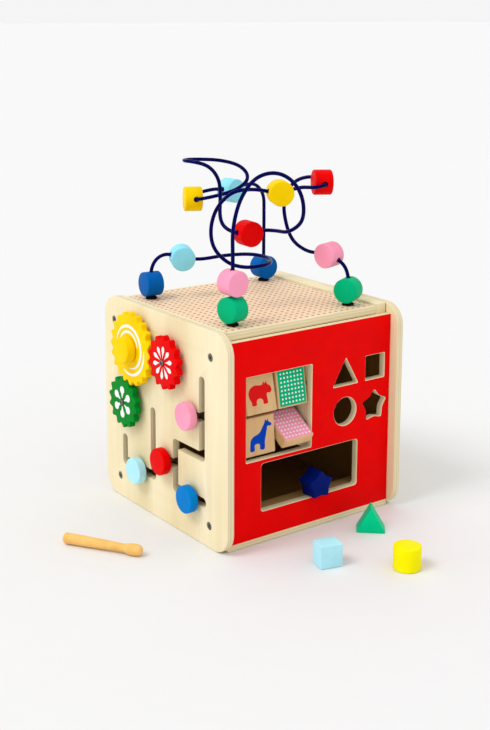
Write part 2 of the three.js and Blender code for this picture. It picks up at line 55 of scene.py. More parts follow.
UP = Vector((0, 0, 1))
X_AXIS, Y_AXIS, Z_AXIS = 0, 1, 2

# %% [markdown]
# ## The camera
#
# The camera comes first, because it decides which details matter. The cube is seen from its front
# left corner, a little from above, through a fairly long lens. A small vertical shift keeps the
# upright edges close to parallel, the way product pictures usually are.

# %% Camera
CAMERA_PLACE = Vector((-0.8710, -1.1678, 0.5918))
CAMERA_YAW = math.radians(36.41)
CAMERA_PITCH = math.radians(-10.9)
CAMERA_ROLL = math.radians(0.19)
CAMERA_LENS = 61.7
CAMERA_SENSOR = 36
CAMERA_SHIFT = -0.16

ahead = Vector((math.sin(CAMERA_YAW) * math.cos(CAMERA_PITCH),
                math.cos(CAMERA_YAW) * math.cos(CAMERA_PITCH), math.sin(CAMERA_PITCH)))
right = ahead.cross(UP).normalized()
above = right.cross(ahead)
rolled_right = right * math.cos(CAMERA_ROLL) + above * math.sin(CAMERA_ROLL)
rolled_up = above * math.cos(CAMERA_ROLL) - right * math.sin(CAMERA_ROLL)
camera = bpy.data.objects.new("camera", bpy.data.cameras.new("camera"))
camera.data.lens = CAMERA_LENS
camera.data.sensor_width = CAMERA_SENSOR
camera.data.shift_y = CAMERA_SHIFT
camera.matrix_world = Matrix.Translation(CAMERA_PLACE) @ Matrix(
    (rolled_right, rolled_up, -ahead)).transposed().to_4x4()
bpy.context.collection.objects.link(camera)
bpy.context.scene.camera = camera
bpy.context.scene.view_settings.view_transform = "Standard"
print("camera", [round(v, 3) for v in camera.location])

# %% [markdown]
# ## Materials made of nodes
#
# Real wood and paint are never one flat colour. Pictures wrapped round each piece could show that,
# but they need unwrapping and leave seams. Noise that is worked out from a place in space needs
# neither, so every finish here mixes two close tones with it, and a fine bump gives the light
# something to catch. A few small helpers keep the node code short.

# %% Node helpers
MIX_AMOUNT, MIX_FIRST, MIX_SECOND, MIX_RESULT = 0, 6, 7, 2
NOISE_LOW, NOISE_HIGH = 0.3, 0.7


def calc(tree, operation, *values):
    """One sum on numbers or on other nodes' results."""
    node = tree.nodes.new("ShaderNodeMath")
    node.operation = operation
    for socket, value in zip(node.inputs, values):
        if isinstance(value, (int, float)):
            socket.default_value = value
        else:
            tree.links.new(value, socket)
    return node.outputs[0]


def mixed(tree, amount, first, second):
    """Two colours mixed by an amount from 0 to 1."""
    node = tree.nodes.new("ShaderNodeMix")
    node.data_type = "RGBA"
    for index, value in ((MIX_AMOUNT, amount), (MIX_FIRST, first), (MIX_SECOND, second)):
        socket = node.inputs[index]
        if isinstance(value, tuple):
            socket.default_value = (*value, 1)
        elif isinstance(value, (int, float)):
            socket.default_value = value
        else:
            tree.links.new(value, socket)
    return node.outputs[MIX_RESULT]


def noise(tree, stretch, detail=3.0, offset=(0, 0, 0)):
    """Cloudy noise; the stretch is how many clouds fit in a metre along each axis."""
    coordinates = tree.nodes.new("ShaderNodeTexCoord")
    mapping = tree.nodes.new("ShaderNodeMapping")
    mapping.inputs["Scale"].default_value = stretch
    mapping.inputs["Location"].default_value = offset
    texture = tree.nodes.new("ShaderNodeTexNoise")
    texture.inputs["Scale"].default_value = 1
    texture.inputs["Detail"].default_value = detail
    tree.links.new(coordinates.outputs["Object"], mapping.inputs["Vector"])
    tree.links.new(mapping.outputs["Vector"], texture.inputs["Vector"])
    return texture.outputs["Fac"]


def spread(tree, value, low, high, start=NOISE_LOW, end=NOISE_HIGH):
    """The value stretched from start...end, where most noise lies, to low...high."""
    node = tree.nodes.new("ShaderNodeMapRange")
    node.inputs["From Min"].default_value = start
    node.inputs["From Max"].default_value = end
    node.inputs["To Min"].default_value = low
    node.inputs["To Max"].default_value = high
    tree.links.new(value, node.inputs["Value"])
    return node.outputs["Result"]


def place_and_facing(tree):
    """Where a point is and which way the surface looks, each as three numbers."""
    coordinates = tree.nodes.new("ShaderNodeTexCoord")
    parts = []
    for output in ("Object", "Normal"):
        split = tree.nodes.new("ShaderNodeSeparateXYZ")
        tree.links.new(coordinates.outputs[output], split.inputs[0])
        parts.append(split.outputs)
    return parts


def bump(tree, height, strength, distance):
    node = tree.nodes.new("ShaderNodeBump")
    node.inputs["Strength"].default_value = strength
    node.inputs["Distance"].default_value = distance
    tree.links.new(height, node.inputs["Height"])
    tree.links.new(node.outputs["Normal"], tree.nodes["Principled BSDF"].inputs["Normal"])


def blank_material(name):
    made = bpy.data.materials.new(name)
    made.use_nodes = True
    return made, made.node_tree, made.node_tree.nodes["Principled BSDF"]


def shade(colour, factor):
    return tuple(min(1.0, c * factor) for c in colour)

# %% [markdown]
# ### Paint
#
# Toy paint is thin and satin. One even colour would look like plastic. The paint lets a little of
# the wood's grain through, so the bump is a stretched noise, and the tone drifts slowly across each
# piece. The same function serves for ink, rubber and the wires' coating, with other numbers.

# %% Paint
PAINT_CLOUD = (35, 35, 35)
PAINT_GRAIN = (500, 500, 60)
FIBRE_DETAIL = 4
BUMP_DEPTH = 0.2 * MM


def paint(name, colour, low=0.34, high=0.5, drift=0.07, grain=PAINT_GRAIN, gloss=0.05, index=1.45):
    """Paint that is rough from low to high, and whose tone drifts up and down by a share."""
    made, tree, surface = blank_material(name)
    cloud = noise(tree, PAINT_CLOUD)
    tone = mixed(tree, spread(tree, cloud, 0, 1), shade(colour, 1 - drift), shade(colour, 1 + drift))
    tree.links.new(tone, surface.inputs["Base Color"])
    fibre = noise(tree, grain, FIBRE_DETAIL)
    tree.links.new(spread(tree, fibre, low, high), surface.inputs["Roughness"])
    bump(tree, fibre, 0.12, BUMP_DEPTH)
    surface.inputs["Specular IOR Level"].default_value = gloss
    surface.inputs["IOR"].default_value = index
    return made


RED = paint("red_paint", (0.76, 0.0, 0.0))
PANEL_RED = paint("red_paint_panel", (0.82, 0.0, 0.0), 0.42, 0.55, drift=0.05, grain=(60, 500, 500),
                  gloss=0.3, index=1.15)
YELLOW = paint("yellow_paint", (0.97, 0.63, 0.0))
LEMON = paint("lemon_paint", (0.95, 0.86, 0.0))
GEAR_GREEN = paint("green_paint", (0.0, 0.235, 0.02))
MINT = paint("mint_green_paint", (0.0, 0.44, 0.19))
BRIGHT_MINT = paint("bright_mint_paint", (0.0, 0.58, 0.26))
PALE_BLUE = paint("pale_blue_paint", (0.45, 0.84, 0.95))
SKY_BLUE = paint("sky_blue_paint", (0.27, 0.74, 0.90))
PINK = paint("pink_paint", (0.97, 0.34, 0.50))
BLUE = paint("blue_paint", (0.0, 0.20, 0.60))
DEEP_BLUE = paint("deep_blue_paint", (0.0, 0.11, 0.42))
STAR_BLUE = paint("star_blue_paint", (0.0, 0.008, 0.14))
WHITE_INK = paint("white_ink", (0.9, 0.9, 0.88), 0.5, 0.6, drift=0.02)
RED_INK = paint("red_ink", (0.72, 0.008, 0.008), 0.5, 0.65)
BLUE_INK = paint("blue_ink", (0.0, 0.05, 0.45), 0.5, 0.65)
RUBBER = paint("black_rubber", (0.008, 0.008, 0.01), 0.55, 0.75, drift=0.2)
WIRE_COAT = paint("wire_coating", (0.0, 0.0, 0.075), 0.12, 0.2, drift=0.2, gloss=0.4, index=1.15)
print("paints and inks:", len(bpy.data.materials))

# %% [markdown]
# ### Wood
#
# Birch plywood is pale, with long faint streaks along the grain, and its sawn edges show the glued
# layers as fine stripes. The stripes could be modelled, but they are flush with each other, so they
# are drawn, and only where the surface looks sideways: on a rounded edge they start part of the way
# round, as on a real board. Faces inside the case get a painted shade, a dark brown for its shadow.

# %% Wood
BIRCH_LIGHT = (0.93, 0.82, 0.57)
BIRCH_DARK = (0.78, 0.65, 0.38)
# Painted shade: the dark brown that faces inside the case take, standing for the shadow in the box.
INSIDE_SHADE_TONE = (0.22, 0.10, 0.018)
FRONT_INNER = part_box("front_panel")[1].y
BACK_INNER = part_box("back_panel")[0].y + 1 * MM  # 1 mm further, to take in the back's own face
GLUE_SHARE = 0.1
LAYER_SHADE, GLUE_SHADE = 0.22, 0.45
EDGE_FACING, FLAT_FACING = 0.45, 0.9
GRAIN_ACROSS, GRAIN_ALONG = 22.0, 1.6
FIBRE_ACROSS, FIBRE_ALONG = 420.0, 9.0
PATCHES = (9, 9, 9)


def ply_layers(tree, tone, dark, board):
    """Every second layer and each glue line, darker on the sawn edges."""
    axis, start, thickness, layers = board
    place, facing = place_and_facing(tree)
    depth = calc(tree, "DIVIDE", calc(tree, "SUBTRACT", place[axis], start), thickness / layers)
    parity = calc(tree, "LESS_THAN", calc(tree, "FRACT", calc(tree, "MULTIPLY", depth, 0.5)), 0.5)
    glue = calc(tree, "LESS_THAN", calc(tree, "FRACT", depth), GLUE_SHARE)
    sideways = calc(tree, "LESS_THAN", calc(tree, "ABSOLUTE", facing[axis]), EDGE_FACING)
    stripe = calc(tree, "ADD", calc(tree, "MULTIPLY", parity, LAYER_SHADE),
                  calc(tree, "MULTIPLY", glue, GLUE_SHADE))
    return mixed(tree, calc(tree, "MULTIPLY", stripe, sideways), tone, shade(dark, 0.55))


def painted_inside_shade(tree, tone, inner):
    """Painted shade: a dark brown tone on the faces that look into the case, between its front and its back.
    """
    axis, sign = inner
    place, facing = place_and_facing(tree)
    inwards = calc(tree, "GREATER_THAN", calc(tree, "MULTIPLY", facing[axis], sign), FLAT_FACING)
    enclosed = calc(tree, "MULTIPLY", calc(tree, "GREATER_THAN", place[Y_AXIS], FRONT_INNER),
                    calc(tree, "LESS_THAN", place[Y_AXIS], BACK_INNER))
    return mixed(tree, calc(tree, "MULTIPLY", inwards, enclosed), tone, INSIDE_SHADE_TONE)


def wood(name, light, dark, grain_axis, board=None, low=0.45, high=0.62, streak=1.0, inner=None):
    """Wood between two tones, rough from low to high; a larger streak gives a finer figure."""
    made, tree, surface = blank_material(name)
    broad = [GRAIN_ACROSS * streak] * 3
    broad[grain_axis] = GRAIN_ALONG
    fine = [FIBRE_ACROSS] * 3
    fine[grain_axis] = FIBRE_ALONG
    figure = noise(tree, broad, 3, (0.3, 0.7, 0.1))
    fibre = noise(tree, fine, FIBRE_DETAIL)
    tone = mixed(tree, spread(tree, figure, 0, 1), light, dark)
    tone = mixed(tree, spread(tree, fibre, 0, 0.22), tone, shade(dark, 0.82))
    patch = noise(tree, PATCHES, 3, (0.7, 0.1, 0.4))
    tone = mixed(tree, spread(tree, patch, 0, 0.3), tone, shade(light, 1.1))
    if board:
        tone = ply_layers(tree, tone, dark, board)
    # Painted shade on the faces that look into the case.
    if inner:
        tone = painted_inside_shade(tree, tone, inner)
    tree.links.new(tone, surface.inputs["Base Color"])
    tree.links.new(spread(tree, fibre, low, high), surface.inputs["Roughness"])
    bump(tree, fibre, 0.15, BUMP_DEPTH)
    surface.inputs["Specular IOR Level"].default_value = 0.15
    return made


def board_of(node, axis, layers):
    """Where a board's layers start along an axis, its thickness and how many layers it has."""
    low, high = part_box(node)
    return (axis, low[axis], high[axis] - low[axis], layers)


def birch(name, grain_axis, board=None, inner=None):
    return wood(name, BIRCH_LIGHT, BIRCH_DARK, grain_axis, board, inner=inner)


# The last argument picks the faces inside the case that get the painted shade.
LEFT_WOOD = birch("birch_left", Z_AXIS, board_of("left_panel", X_AXIS, 5), (X_AXIS, 1))
RIGHT_WOOD = birch("birch_right", Z_AXIS, board_of("right_panel", X_AXIS, 5), (X_AXIS, -1))
BACK_WOOD = birch("birch_back", X_AXIS, board_of("back_panel", Y_AXIS, 5), (Y_AXIS, -1))
BASE_WOOD = birch("birch_base", X_AXIS, board_of("base_panel", Z_AXIS, 4), (Z_AXIS, 1))
# Painted shade: the ledge inside the case is birch, drawn a darker brown for the shadow in there.
INSIDE_SHADE_WOOD = wood("birch_with_painted_shade", (0.42, 0.25, 0.10), (0.30, 0.16, 0.05), X_AXIS)
RAIL_WOOD = birch("birch_rail", Y_AXIS)
TILE_WOOD = wood("birch_tile", (0.78, 0.52, 0.27), (0.62, 0.38, 0.17), Z_AXIS, low=0.5, high=0.65, streak=3)
# Dark brown for the slider stems: partly dark wood, partly a painted shade for the shadow in the slot.
STEM_WOOD_AND_SHADE = wood("dark_stained_wood", (0.16, 0.09, 0.045), (0.09, 0.05, 0.025), X_AXIS)
BEATER_WOOD = wood("turned_hardwood", (0.94, 0.58, 0.18), (0.82, 0.44, 0.11), X_AXIS, low=0.4, high=0.55,
                   streak=4)
print("woods, paints and inks:", len(bpy.data.materials))

# %% [markdown]
# ### Steel
#
# The screws, axle and rods are zinc plated. A mirror-like metal would show only the pale studio, so
# fine scratches change both its tone and how sharply it reflects.

# %% Steel
STEEL_DARK, STEEL_LIGHT = (0.07, 0.068, 0.065), (0.30, 0.29, 0.27)
SCRATCHES = (900, 900, 120)


def steel():
    made, tree, surface = blank_material("steel")
    scratch = noise(tree, SCRATCHES, FIBRE_DETAIL)
    tree.links.new(mixed(tree, scratch, STEEL_DARK, STEEL_LIGHT), surface.inputs["Base Color"])
    tree.links.new(spread(tree, scratch, 0.28, 0.5), surface.inputs["Roughness"])
    surface.inputs["Metallic"].default_value = 1
    bump(tree, scratch, 0.1, BUMP_DEPTH / 2)
    return made


STEEL = steel()
print("all materials so far:", len(bpy.data.materials))

# %% [markdown]
# ## Shaping tools
#
# Four ways of shaping cover the whole toy. A flat plate is sawn from a board and its edges are
# rounded over. A turned piece is a profile spun round an axis. A tube follows a line. A softened
# piece takes a CAD solid and eases its sharp edges. Whichever way a mesh is made, it becomes a piece
# in one step: shaded smooth except at its corners, and tied to the body that it moves with.

# %% Making a piece from a mesh
CORNER_ANGLE = math.radians(38)


def piece(name, mesh, material, body, slot, *nodes):
    """Shows a mesh as a piece that rides on a body and stands for CAD nodes."""
    made = bpy.data.objects.new(name, mesh)
    bpy.context.collection.objects.link(made)
    mesh.materials.clear()
    mesh.materials.append(material)
    mesh.shade_smooth()
    mesh.set_sharp_from_angle(angle=CORNER_ANGLE)
    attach(made, body)
    if nodes:
        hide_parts(*nodes)
    return made


def evaluated(name, data, *modifiers):
    """The mesh of a curve or mesh after its modifiers, as new mesh data."""
    scratch = bpy.data.objects.new(name, data)
    bpy.context.collection.objects.link(scratch)
    for kind, settings in modifiers:
        modifier = scratch.modifiers.new(kind, kind)
        for key, value in settings.items():
            setattr(modifier, key, value)
    seen = scratch.evaluated_get(bpy.context.evaluated_depsgraph_get())
    mesh = bpy.data.meshes.new_from_object(seen)
    bpy.data.objects.remove(scratch)
    mesh.name = name
    return mesh


def weld(mesh, distance=HAIR, dissolve=False):
    """Joins points that lie together, turns the faces outwards and, if asked, clears flat edges."""
    shape = bmesh.new()
    shape.from_mesh(mesh)
    bmesh.ops.remove_doubles(shape, verts=shape.verts, dist=distance)
    if dissolve:
        bmesh.ops.dissolve_limit(shape, angle_limit=math.radians(1), verts=shape.verts, edges=shape.edges)
    bmesh.ops.recalc_face_normals(shape, faces=shape.faces)
    shape.to_mesh(mesh)
    shape.free()
    return mesh


def basis(x, y, z, origin):
    """A frame given by its three axes and its origin."""
    turn = Matrix((Vector(x), Vector(y), Vector(z))).transposed().to_4x4()
    return Matrix.Translation(Vector(origin)) @ turn


def across(direction, origin):
    """A frame whose local z is the given direction."""
    turn = Vector(direction).to_track_quat("Z", "Y").to_matrix().to_4x4()
    return Matrix.Translation(Vector(origin)) @ turn


def metres(points):
    """A profile or outline given in millimetres."""
    return [(x * MM, y * MM) for x, y in points]

# %% [markdown]
# A sawn board is an outline with holes and a thickness. It could be extruded as a mesh and then
# bevelled, but a bevel gets into trouble where a hole's edge has many short steps. A filled flat
# curve extrudes the board, cuts its holes and rounds all its edges in one go, so plates use that.

# %% Flat plates with rounded edges
def plate(outlines, bottom, top, edge, frame_of, rounds=3):
    """Outlines lie in local x, y; the plate fills local z from bottom to top."""
    curve = bpy.data.curves.new("plate", "CURVE")
    curve.dimensions = "2D"
    curve.fill_mode = "BOTH"
    for outline in outlines:
        spline = curve.splines.new("POLY")
        spline.points.add(len(outline) - 1)
        for point, (x, y) in zip(spline.points, outline):
            point.co = (x, y, 0, 1)
        spline.use_cyclic_u = True
    curve.extrude = (top - bottom) / 2 - edge
    curve.bevel_depth = edge
    curve.bevel_resolution = rounds
    curve.offset = -edge
    mesh = evaluated("plate", curve)
    mesh.transform(frame_of @ Matrix.Translation((0, 0, (top + bottom) / 2)))
    return weld(mesh)


def rounded_box(width, height, radius, cx=0.0, cy=0.0, steps=8):
    """A rectangle with round corners."""
    points = []
    for quarter, (sx, sy) in enumerate(((1, -1), (1, 1), (-1, 1), (-1, -1))):
        for i in range(steps + 1):
            angle = math.pi / 2 * (quarter - 1 + i / steps)
            points.append((cx + sx * (width / 2 - radius) + radius * math.cos(angle),
                           cy + sy * (height / 2 - radius) + radius * math.sin(angle)))
    return points


def circle(radius, cx=0.0, cy=0.0, steps=48):
    return [(cx + radius * math.cos(math.tau * i / steps), cy + radius * math.sin(math.tau * i / steps))
            for i in range(steps)]


def corners_of(count, outer, inner=0.0, cx=0.0, cy=0.0):
    """The corners of a regular shape with one on top, or of a star when there is an inner radius."""
    steps = 2 * count if inner else count
    ring = []
    for i in range(steps):
        radius = inner if inner and i % 2 else outer
        angle = math.pi / 2 + math.tau * i / steps
        ring.append((cx + radius * math.cos(angle), cy + radius * math.sin(angle)))
    return ring


def rounded_corners(points, radius, steps=6):
    """Each corner becomes a short curve that starts and ends at the given distance from it."""
    made = []
    for i, corner in enumerate(points):
        corner = Vector(corner)
        before_corner = Vector(points[i - 1])
        after_corner = Vector(points[(i + 1) % len(points)])
        start = corner + (before_corner - corner).normalized() * radius
        end = corner + (after_corner - corner).normalized() * radius
        for k in range(steps + 1):
            t = k / steps
            made.append(tuple(start * (1 - t) ** 2 + corner * 2 * t * (1 - t) + end * t * t))
    return made


def between(a, b, c, d, t):
    """A point of the Catmull-Rom line from b to c; a and d are their neighbours."""
    return 0.5 * (2 * b + (c - a) * t + (2 * a - 5 * b + 4 * c - d) * t * t
                  + (3 * b - a - 3 * c + d) * t ** 3)


def smooth_loop(points, steps=6):
    """A closed Catmull-Rom line through the points."""
    made = []
    count = len(points)
    for i in range(count):
        a, b, c, d = (Vector(points[(i + k) % count]) for k in (-1, 0, 1, 2))
        made.extend(tuple(between(a, b, c, d, k / steps)) for k in range(steps))
    return made

# %% [markdown]
# Beads, knobs and the beater come off a lathe, so half of their profile is spun round an axis, which
# gives even rings of faces that shade well. Wires and bores are a curve with a round bevel. What has
# no simple profile keeps its CAD shape, with eased edges, and a boolean cuts slots and bores.

# %% Turned pieces, tubes and softened solids
def turned(profile, frame_of, segments=64):
    """A profile of (radius, height) points spun round the local z axis."""
    shape = bmesh.new()
    points = [shape.verts.new((radius, 0, height)) for radius, height in profile]
    edges = [shape.edges.new(pair) for pair in zip(points, points[1:])]
    bmesh.ops.spin(shape, geom=points + edges, cent=(0, 0, 0), axis=(0, 0, 1), angle=math.tau,
                   steps=segments, use_merge=True)
    mesh = bpy.data.meshes.new("turned")
    shape.to_mesh(mesh)
    shape.free()
    mesh.transform(frame_of)
    return weld(mesh, 2 * HAIR)


def eased(radius, bottom, top, edge, steps=4):
    """A disc's profile with rounded rims."""
    lower = [(radius - edge + edge * math.sin(math.pi / 2 * i / steps),
              bottom + edge - edge * math.cos(math.pi / 2 * i / steps)) for i in range(steps + 1)]
    upper = [(radius - edge + edge * math.cos(math.pi / 2 * i / steps),
              top - edge + edge * math.sin(math.pi / 2 * i / steps)) for i in range(steps + 1)]
    return [(0, bottom), *lower, *upper, (0, top)]


def tube(line, radius, rounds=4):
    """A round tube along a smooth line that is led by the given points."""
    curve = bpy.data.curves.new("tube", "CURVE")
    curve.dimensions = "3D"
    curve.bevel_depth = radius
    curve.bevel_resolution = rounds
    curve.use_fill_caps = True
    curve.resolution_u = 4
    spline = curve.splines.new("NURBS")
    spline.points.add(len(line) - 1)
    for point, place in zip(spline.points, line):
        point.co = (*place, 1)
    spline.order_u = 4
    spline.use_endpoint_u = True
    return weld(evaluated("tube", curve))


def softened(node, width, rounds=3, tight=35):
    """A CAD solid with every edge sharper than the tight angle rounded over."""
    mesh = weld(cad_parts[node].data.copy(), 2 * HAIR, True)
    return evaluated(node, mesh, ("BEVEL", {"width": width, "segments": rounds, "limit_method": "ANGLE",
                                            "angle_limit": math.radians(tight)}))


def carved(mesh, *tools):
    """The mesh with other meshes cut away."""
    objects = [bpy.data.objects.new("tool", tool) for tool in tools]
    for tool in objects:
        bpy.context.collection.objects.link(tool)
    cuts = [("BOOLEAN", {"operation": "DIFFERENCE", "solver": "EXACT", "object": tool}) for tool in objects]
    made = evaluated("carved", mesh, *cuts)
    for tool in objects:
        bpy.data.objects.remove(tool)
    return weld(made, 2 * HAIR)


def flat_direction(node):
    """The way a CAD node's largest flat face looks."""
    sums = {}
    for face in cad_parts[node].data.polygons:
        key = tuple(round(v, 2) for v in face.normal)
        sums[key] = sums.get(key, Vector((0, 0, 0))) + face.normal * face.area
    return max(sums.values(), key=lambda total: total.length).normalized()


def middle(node):
    low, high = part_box(node)
    return (low + high) / 2


def size(node):
    low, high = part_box(node)
    return high - low

# %% [markdown]
# ## The casing
#
# Two side panels hold the red front, the back, the base and the rails under the lid. They are
# rounded over all round and have four sunk screws each, and the left one also has the slider slots.
# The slots could be holes in the plate's outline, but they branch. Straight runs with round ends are
# simpler: each is cut with its own tool, and the runs join where they overlap.

# %% Side panels
SIDE_CORNER = 25 * MM
SIDE_EDGE = 1 * MM
SLOT_WIDTH = 11 * MM
SLOT_EDGE = 0.7 * MM
left_low, left_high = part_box("left_panel")
side_depth = left_high.y - left_low.y
side_height = left_high.z
side_thickness = left_high.x - left_low.x
left_face = basis((0, -1, 0), (0, 0, 1), (-1, 0, 0), (left_low.x, 0, 0))
right_face = basis((0, 1, 0), (0, 0, 1), (1, 0, 0), (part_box("right_panel")[1].x, 0, 0))
front_face = basis((1, 0, 0), (0, 0, 1), (0, -1, 0), (0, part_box("front_panel")[0].y, 0))

# Places on a side panel are in mm, seen from outside: along the panel from its middle, then up.
SCREW_PLACES = [(-107, 221), (96, 220), (-98, 25.5), (93, 25.5)]
SCREW_HOLE = 4.6 * MM
side_outline = rounded_box(side_depth, side_height, SIDE_CORNER, 0, side_height / 2, 16)
screw_holes = [circle(SCREW_HOLE, x * MM, y * MM, 24) for x, y in SCREW_PLACES]

SLOT_RUNS = [((-84.5, 77.5), (-84.5, 49.5)), ((-84.5, 49.5), (-21, 49.5)), ((-21, 49.5), (-21, 127.5)),
             ((80, 189.5), (80, 102.5)), ((80, 102.5), (26.5, 102.5)), ((26.5, 102.5), (26.5, 49.5)),
             ((26.5, 49.5), (82, 49.5)), ((80, 146.5), (61.5, 146.5)), ((26.5, 77.5), (8, 77.5))]


def slot_tool(start, end):
    (x0, y0), (x1, y1) = start, end
    length = math.hypot(x1 - x0, y1 - y0) * MM + SLOT_WIDTH
    turn = Matrix.Rotation(math.atan2(y1 - y0, x1 - x0), 4, "Z")
    centre = Matrix.Translation(((x0 + x1) / 2 * MM, (y0 + y1) / 2 * MM, 0))
    outline = rounded_box(length, SLOT_WIDTH, SLOT_WIDTH / 2 - HAIR, 0, 0, 10)
    return plate([outline], -side_thickness - MM, MM, 0, left_face @ centre @ turn, 0)


left_mesh = plate([side_outline, *screw_holes], -side_thickness, 0, SIDE_EDGE, left_face, 4)
left_mesh = carved(left_mesh, *[slot_tool(*run) for run in SLOT_RUNS])
slot_bevel = {"width": SLOT_EDGE, "segments": 2, "limit_method": "ANGLE", "angle_limit": math.radians(70)}
left_mesh = evaluated("left_panel", left_mesh, ("BEVEL", slot_bevel))
piece("left_board", left_mesh, LEFT_WOOD, "casing", "birch_ply", "left_panel")
right_mesh = plate([side_outline, *screw_holes], -side_thickness, 0, SIDE_EDGE, right_face, 4)
piece("right_board", right_mesh, RIGHT_WOOD, "casing", "birch_ply", "right_panel")
print("side panels", round(side_depth, 3), round(side_height, 3), "faces", len(left_mesh.polygons))

# %% [markdown]
# Each screw is a countersunk head with a cross recess, pulled a little below the surface. A dark
# cross could be painted on a disc, but a recess catches the light as a real one does, so it is cut.
# A short shank stands for the thread that nobody sees. Each screw of a side stops at its own turn.

# %% Panel screws
SCREW_PROFILE = [(0, -8), (1.8, -8), (1.8, -2.8), (4.1, -0.4), (3.9, 0), (0, 0)]
SCREW_SINK = 0.5 * MM
SCREW_CROSS = (1.1 * MM, 4.6 * MM, 1.2 * MM)
TURN_PER_MM = 0.37


def cross_tool(width, length, depth, frame_of):
    bars = []
    for w, h in ((width, length), (length, width)):
        outline = [(-w / 2, -h / 2), (w / 2, -h / 2), (w / 2, h / 2), (-w / 2, h / 2)]
        bars.append(plate([outline], -depth, depth, 0, frame_of, 0))
    return bars


def sunk_screw(name, face, x, y):
    turn = Matrix.Rotation(x * TURN_PER_MM, 4, "Z")
    place = face @ Matrix.Translation((x * MM, y * MM, -SCREW_SINK)) @ turn
    head = carved(turned(metres(SCREW_PROFILE), place, 32), *cross_tool(*SCREW_CROSS, place))
    return piece(name, head, STEEL, "casing", "steel")


for i, (x, y) in enumerate(SCREW_PLACES):
    sunk_screw("left_screw_" + str(i + 1), left_face, x, y)
    sunk_screw("right_screw_" + str(i + 1), right_face, x, y)
print("panel screws", 2 * len(SCREW_PLACES))

# %% [markdown]
# The red front is painted on its face only: the sawn edges of every window and hole stay the colour
# of the wood. One material could tell the face from the edges by the way they look, but the rounded
# rims would then be half and half. So it is made as one plate of bare birch with a thin painted skin
# in front of it, and the skin's holes are a little larger, so that a pale rim shows.

# %% Front panel
PAINT_SKIN = 0.35 * MM
PAINT_EDGE = PAINT_SKIN * 0.4
EDGE = 0.7 * MM
front_low, front_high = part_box("front_panel")
front_outline = [(front_low.x, front_low.z), (front_high.x, front_low.z),
                 (front_high.x, front_high.z), (front_low.x, front_high.z)]
window_centre = (middle("tile_rod_upper") + middle("tile_rod_lower")) / 2
WINDOW_WIDTH, WINDOW_HEIGHT = 92 * MM, 97.5 * MM
CATCH_WIDTH, CATCH_HEIGHT, CATCH_AT = 141 * MM, 56 * MM, (-1.5 * MM, 65.3 * MM)
TRIANGLE_HOLE, TRIANGLE_AT = 21.48 * MM, (49.5 * MM, 173.5 * MM)
SQUARE_HOLE, SQUARE_AT = 29.2 * MM, (94.75 * MM, 177.5 * MM)
ROUND_HOLE, ROUND_AT = 16.85 * MM, (49.5 * MM, 131 * MM)
STAR_HOLE, STAR_AT, STAR_WAIST = 19.6 * MM, (94.5 * MM, 130 * MM), 0.66
CATCH_CORNER, TRIANGLE_CORNER, SQUARE_CORNER, STAR_CORNER = 4 * MM, 2.5 * MM, 1.5 * MM, 3 * MM


def front_holes(grow):
    """The tile window, the catch window and the four sorting holes, larger by the given edge."""
    triangle = corners_of(3, TRIANGLE_HOLE + 2 * grow, 0, *TRIANGLE_AT)
    star = corners_of(5, STAR_HOLE + grow, (STAR_HOLE + grow) * STAR_WAIST, *STAR_AT)
    return [
        rounded_box(WINDOW_WIDTH + 2 * grow, WINDOW_HEIGHT + 2 * grow, SQUARE_CORNER, window_centre.x,
                    window_centre.z),
        rounded_box(CATCH_WIDTH + 2 * grow, CATCH_HEIGHT + 2 * grow, CATCH_CORNER, *CATCH_AT),
        rounded_corners(triangle, TRIANGLE_CORNER),
        rounded_box(SQUARE_HOLE + 2 * grow, SQUARE_HOLE + 2 * grow, SQUARE_CORNER, *SQUARE_AT),
        circle(ROUND_HOLE + grow, *ROUND_AT),
        rounded_corners(star, STAR_CORNER),
    ]


FRONT_WOOD = birch("birch_front", X_AXIS, board_of("front_panel", Y_AXIS, 5))
front_thickness = front_high.y - front_low.y
core = plate([front_outline, *front_holes(0)], -front_thickness, -PAINT_SKIN, EDGE, front_face)
piece("front_core", core, FRONT_WOOD, "casing", "birch_ply", "front_panel")
skin = plate([front_outline, *front_holes(EDGE)], -PAINT_SKIN, 0, PAINT_EDGE, front_face, 2)
piece("front_paint", skin, PANEL_RED, "casing", "red_paint_panel")
print("front panel", len(core.polygons), "faces in the core")

# %% [markdown]
# The base, back, inner ledge, tile cheeks and lid rails are plain boards. They could be sawn from
# outlines again, but their CAD shapes are right, so only their edges are eased. The two steel rods
# that the tiles turn on are turned, with eased ends.

# %% Plain boards and rods
BOARD_EDGE, ROD_EDGE = 0.5 * MM, 0.3 * MM
BOARDS = [("base_panel", "base_board", BASE_WOOD), ("back_panel", "back_board", BACK_WOOD),
          ("catch_ledge", "inner_ledge", INSIDE_SHADE_WOOD), ("tile_cheek_left", "cheek_left", BACK_WOOD),
          ("tile_cheek_right", "cheek_right", BACK_WOOD), ("lid_rail_left", "rail_left", RAIL_WOOD),
          ("lid_rail_right", "rail_right", RAIL_WOOD)]
for node, name, material in BOARDS:
    piece(name, softened(node, BOARD_EDGE), material, "casing", "birch_ply", node)
for node in ("tile_rod_upper", "tile_rod_lower"):
    half_rod = size(node).x / 2
    rod_profile = eased(size(node).z / 2, -half_rod, half_rod, ROD_EDGE)
    mesh = turned(rod_profile, across((1, 0, 0), middle(node)), 32)
    piece(node.replace("tile_rod", "rod"), mesh, STEEL, "casing", "steel", node)
print("plain boards", len(BOARDS))

# %% [markdown]
# The beater needs something to strike, so the hidden back carries a small xylophone. Its painted
# bars stand on short posts. Like the boards, they only need their edges eased.

# %% Xylophone bars
BARS = [(RED, "red_paint"), (YELLOW, "yellow_paint"), (GEAR_GREEN, "green_paint"), (BLUE, "blue_paint"),
        (PINK, "pink_paint")]
for number, (material, slot) in enumerate(BARS, 1):
    node = "xylophone_bar_" + str(number)
    piece("chime_" + str(number), softened(node, BOARD_EDGE), material, "casing", slot, node)
print("xylophone bars", len(BARS))

